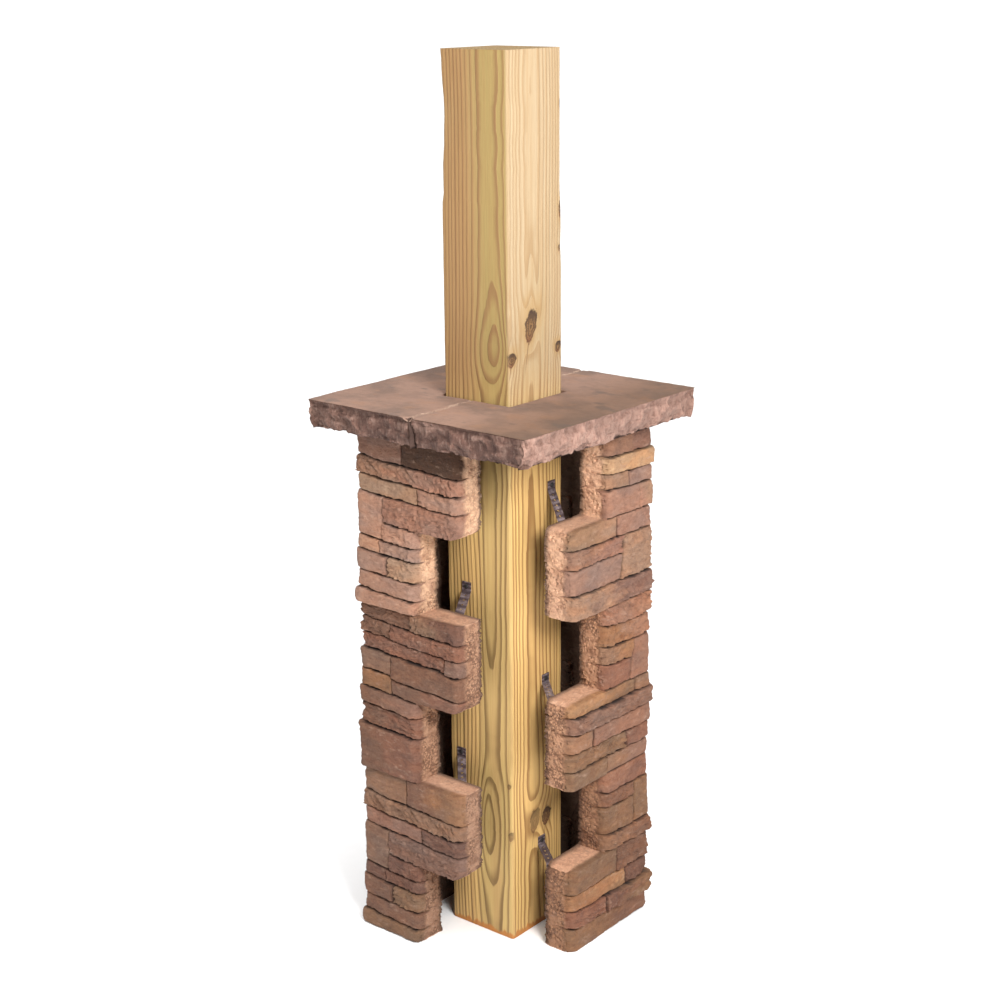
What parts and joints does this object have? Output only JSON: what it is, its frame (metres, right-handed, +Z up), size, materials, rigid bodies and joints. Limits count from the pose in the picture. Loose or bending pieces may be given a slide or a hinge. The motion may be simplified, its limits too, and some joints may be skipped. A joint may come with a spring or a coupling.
{
  "type": "porch column wrap",
  "caption": "Square timber porch post wrapped in interlocking ledgestone corner panels with strap ties, front corner open, under a rock-faced slab cap in two halves.",
  "frame": {"origin": "centre of the column in plan, on the floor that the post and the bottom panels stand on", "axes": "+Z up; the open corner of the wrap faces +X and -Y, the left stack stands at -X and -Y, the right stack at +X and +Y"},
  "size_m": [0.4617, 0.4612, 1.524],
  "materials": {
    "cast_stone": "integrally coloured cast concrete ledgestone, matt",
    "cast_cap": "cast concrete slab, trowelled top and rock-faced edge, matt",
    "treated_pine": "sawn pressure-treated pine, unpainted",
    "galvanised_strap": "weathered galvanised perforated strip",
    "nail_steel": "dark steel nail"
  },
  "bodies": {
    "root": {"post": "treated_pine", "panel_left_1": "cast_stone", "panel_left_2": "cast_stone", "panel_left_3": "cast_stone", "panel_right_1": "cast_stone", "panel_right_2": "cast_stone", "panel_right_3": "cast_stone", "panel_back_1": "cast_stone", "panel_back_2": "cast_stone", "panel_back_3": "cast_stone", "cap_left_half": "cast_cap", "cap_right_half": "cast_cap", "strap_left_1": "galvanised_strap", "strap_left_2": "galvanised_strap", "strap_right_1": "galvanised_strap", "strap_right_2": "galvanised_strap", "strap_right_3": "galvanised_strap", "nail_left_1": "nail_steel", "nail_left_2": "nail_steel", "nail_right_1": "nail_steel", "nail_right_2": "nail_steel", "nail_right_3": "nail_steel"}
  },
  "joints": []
}
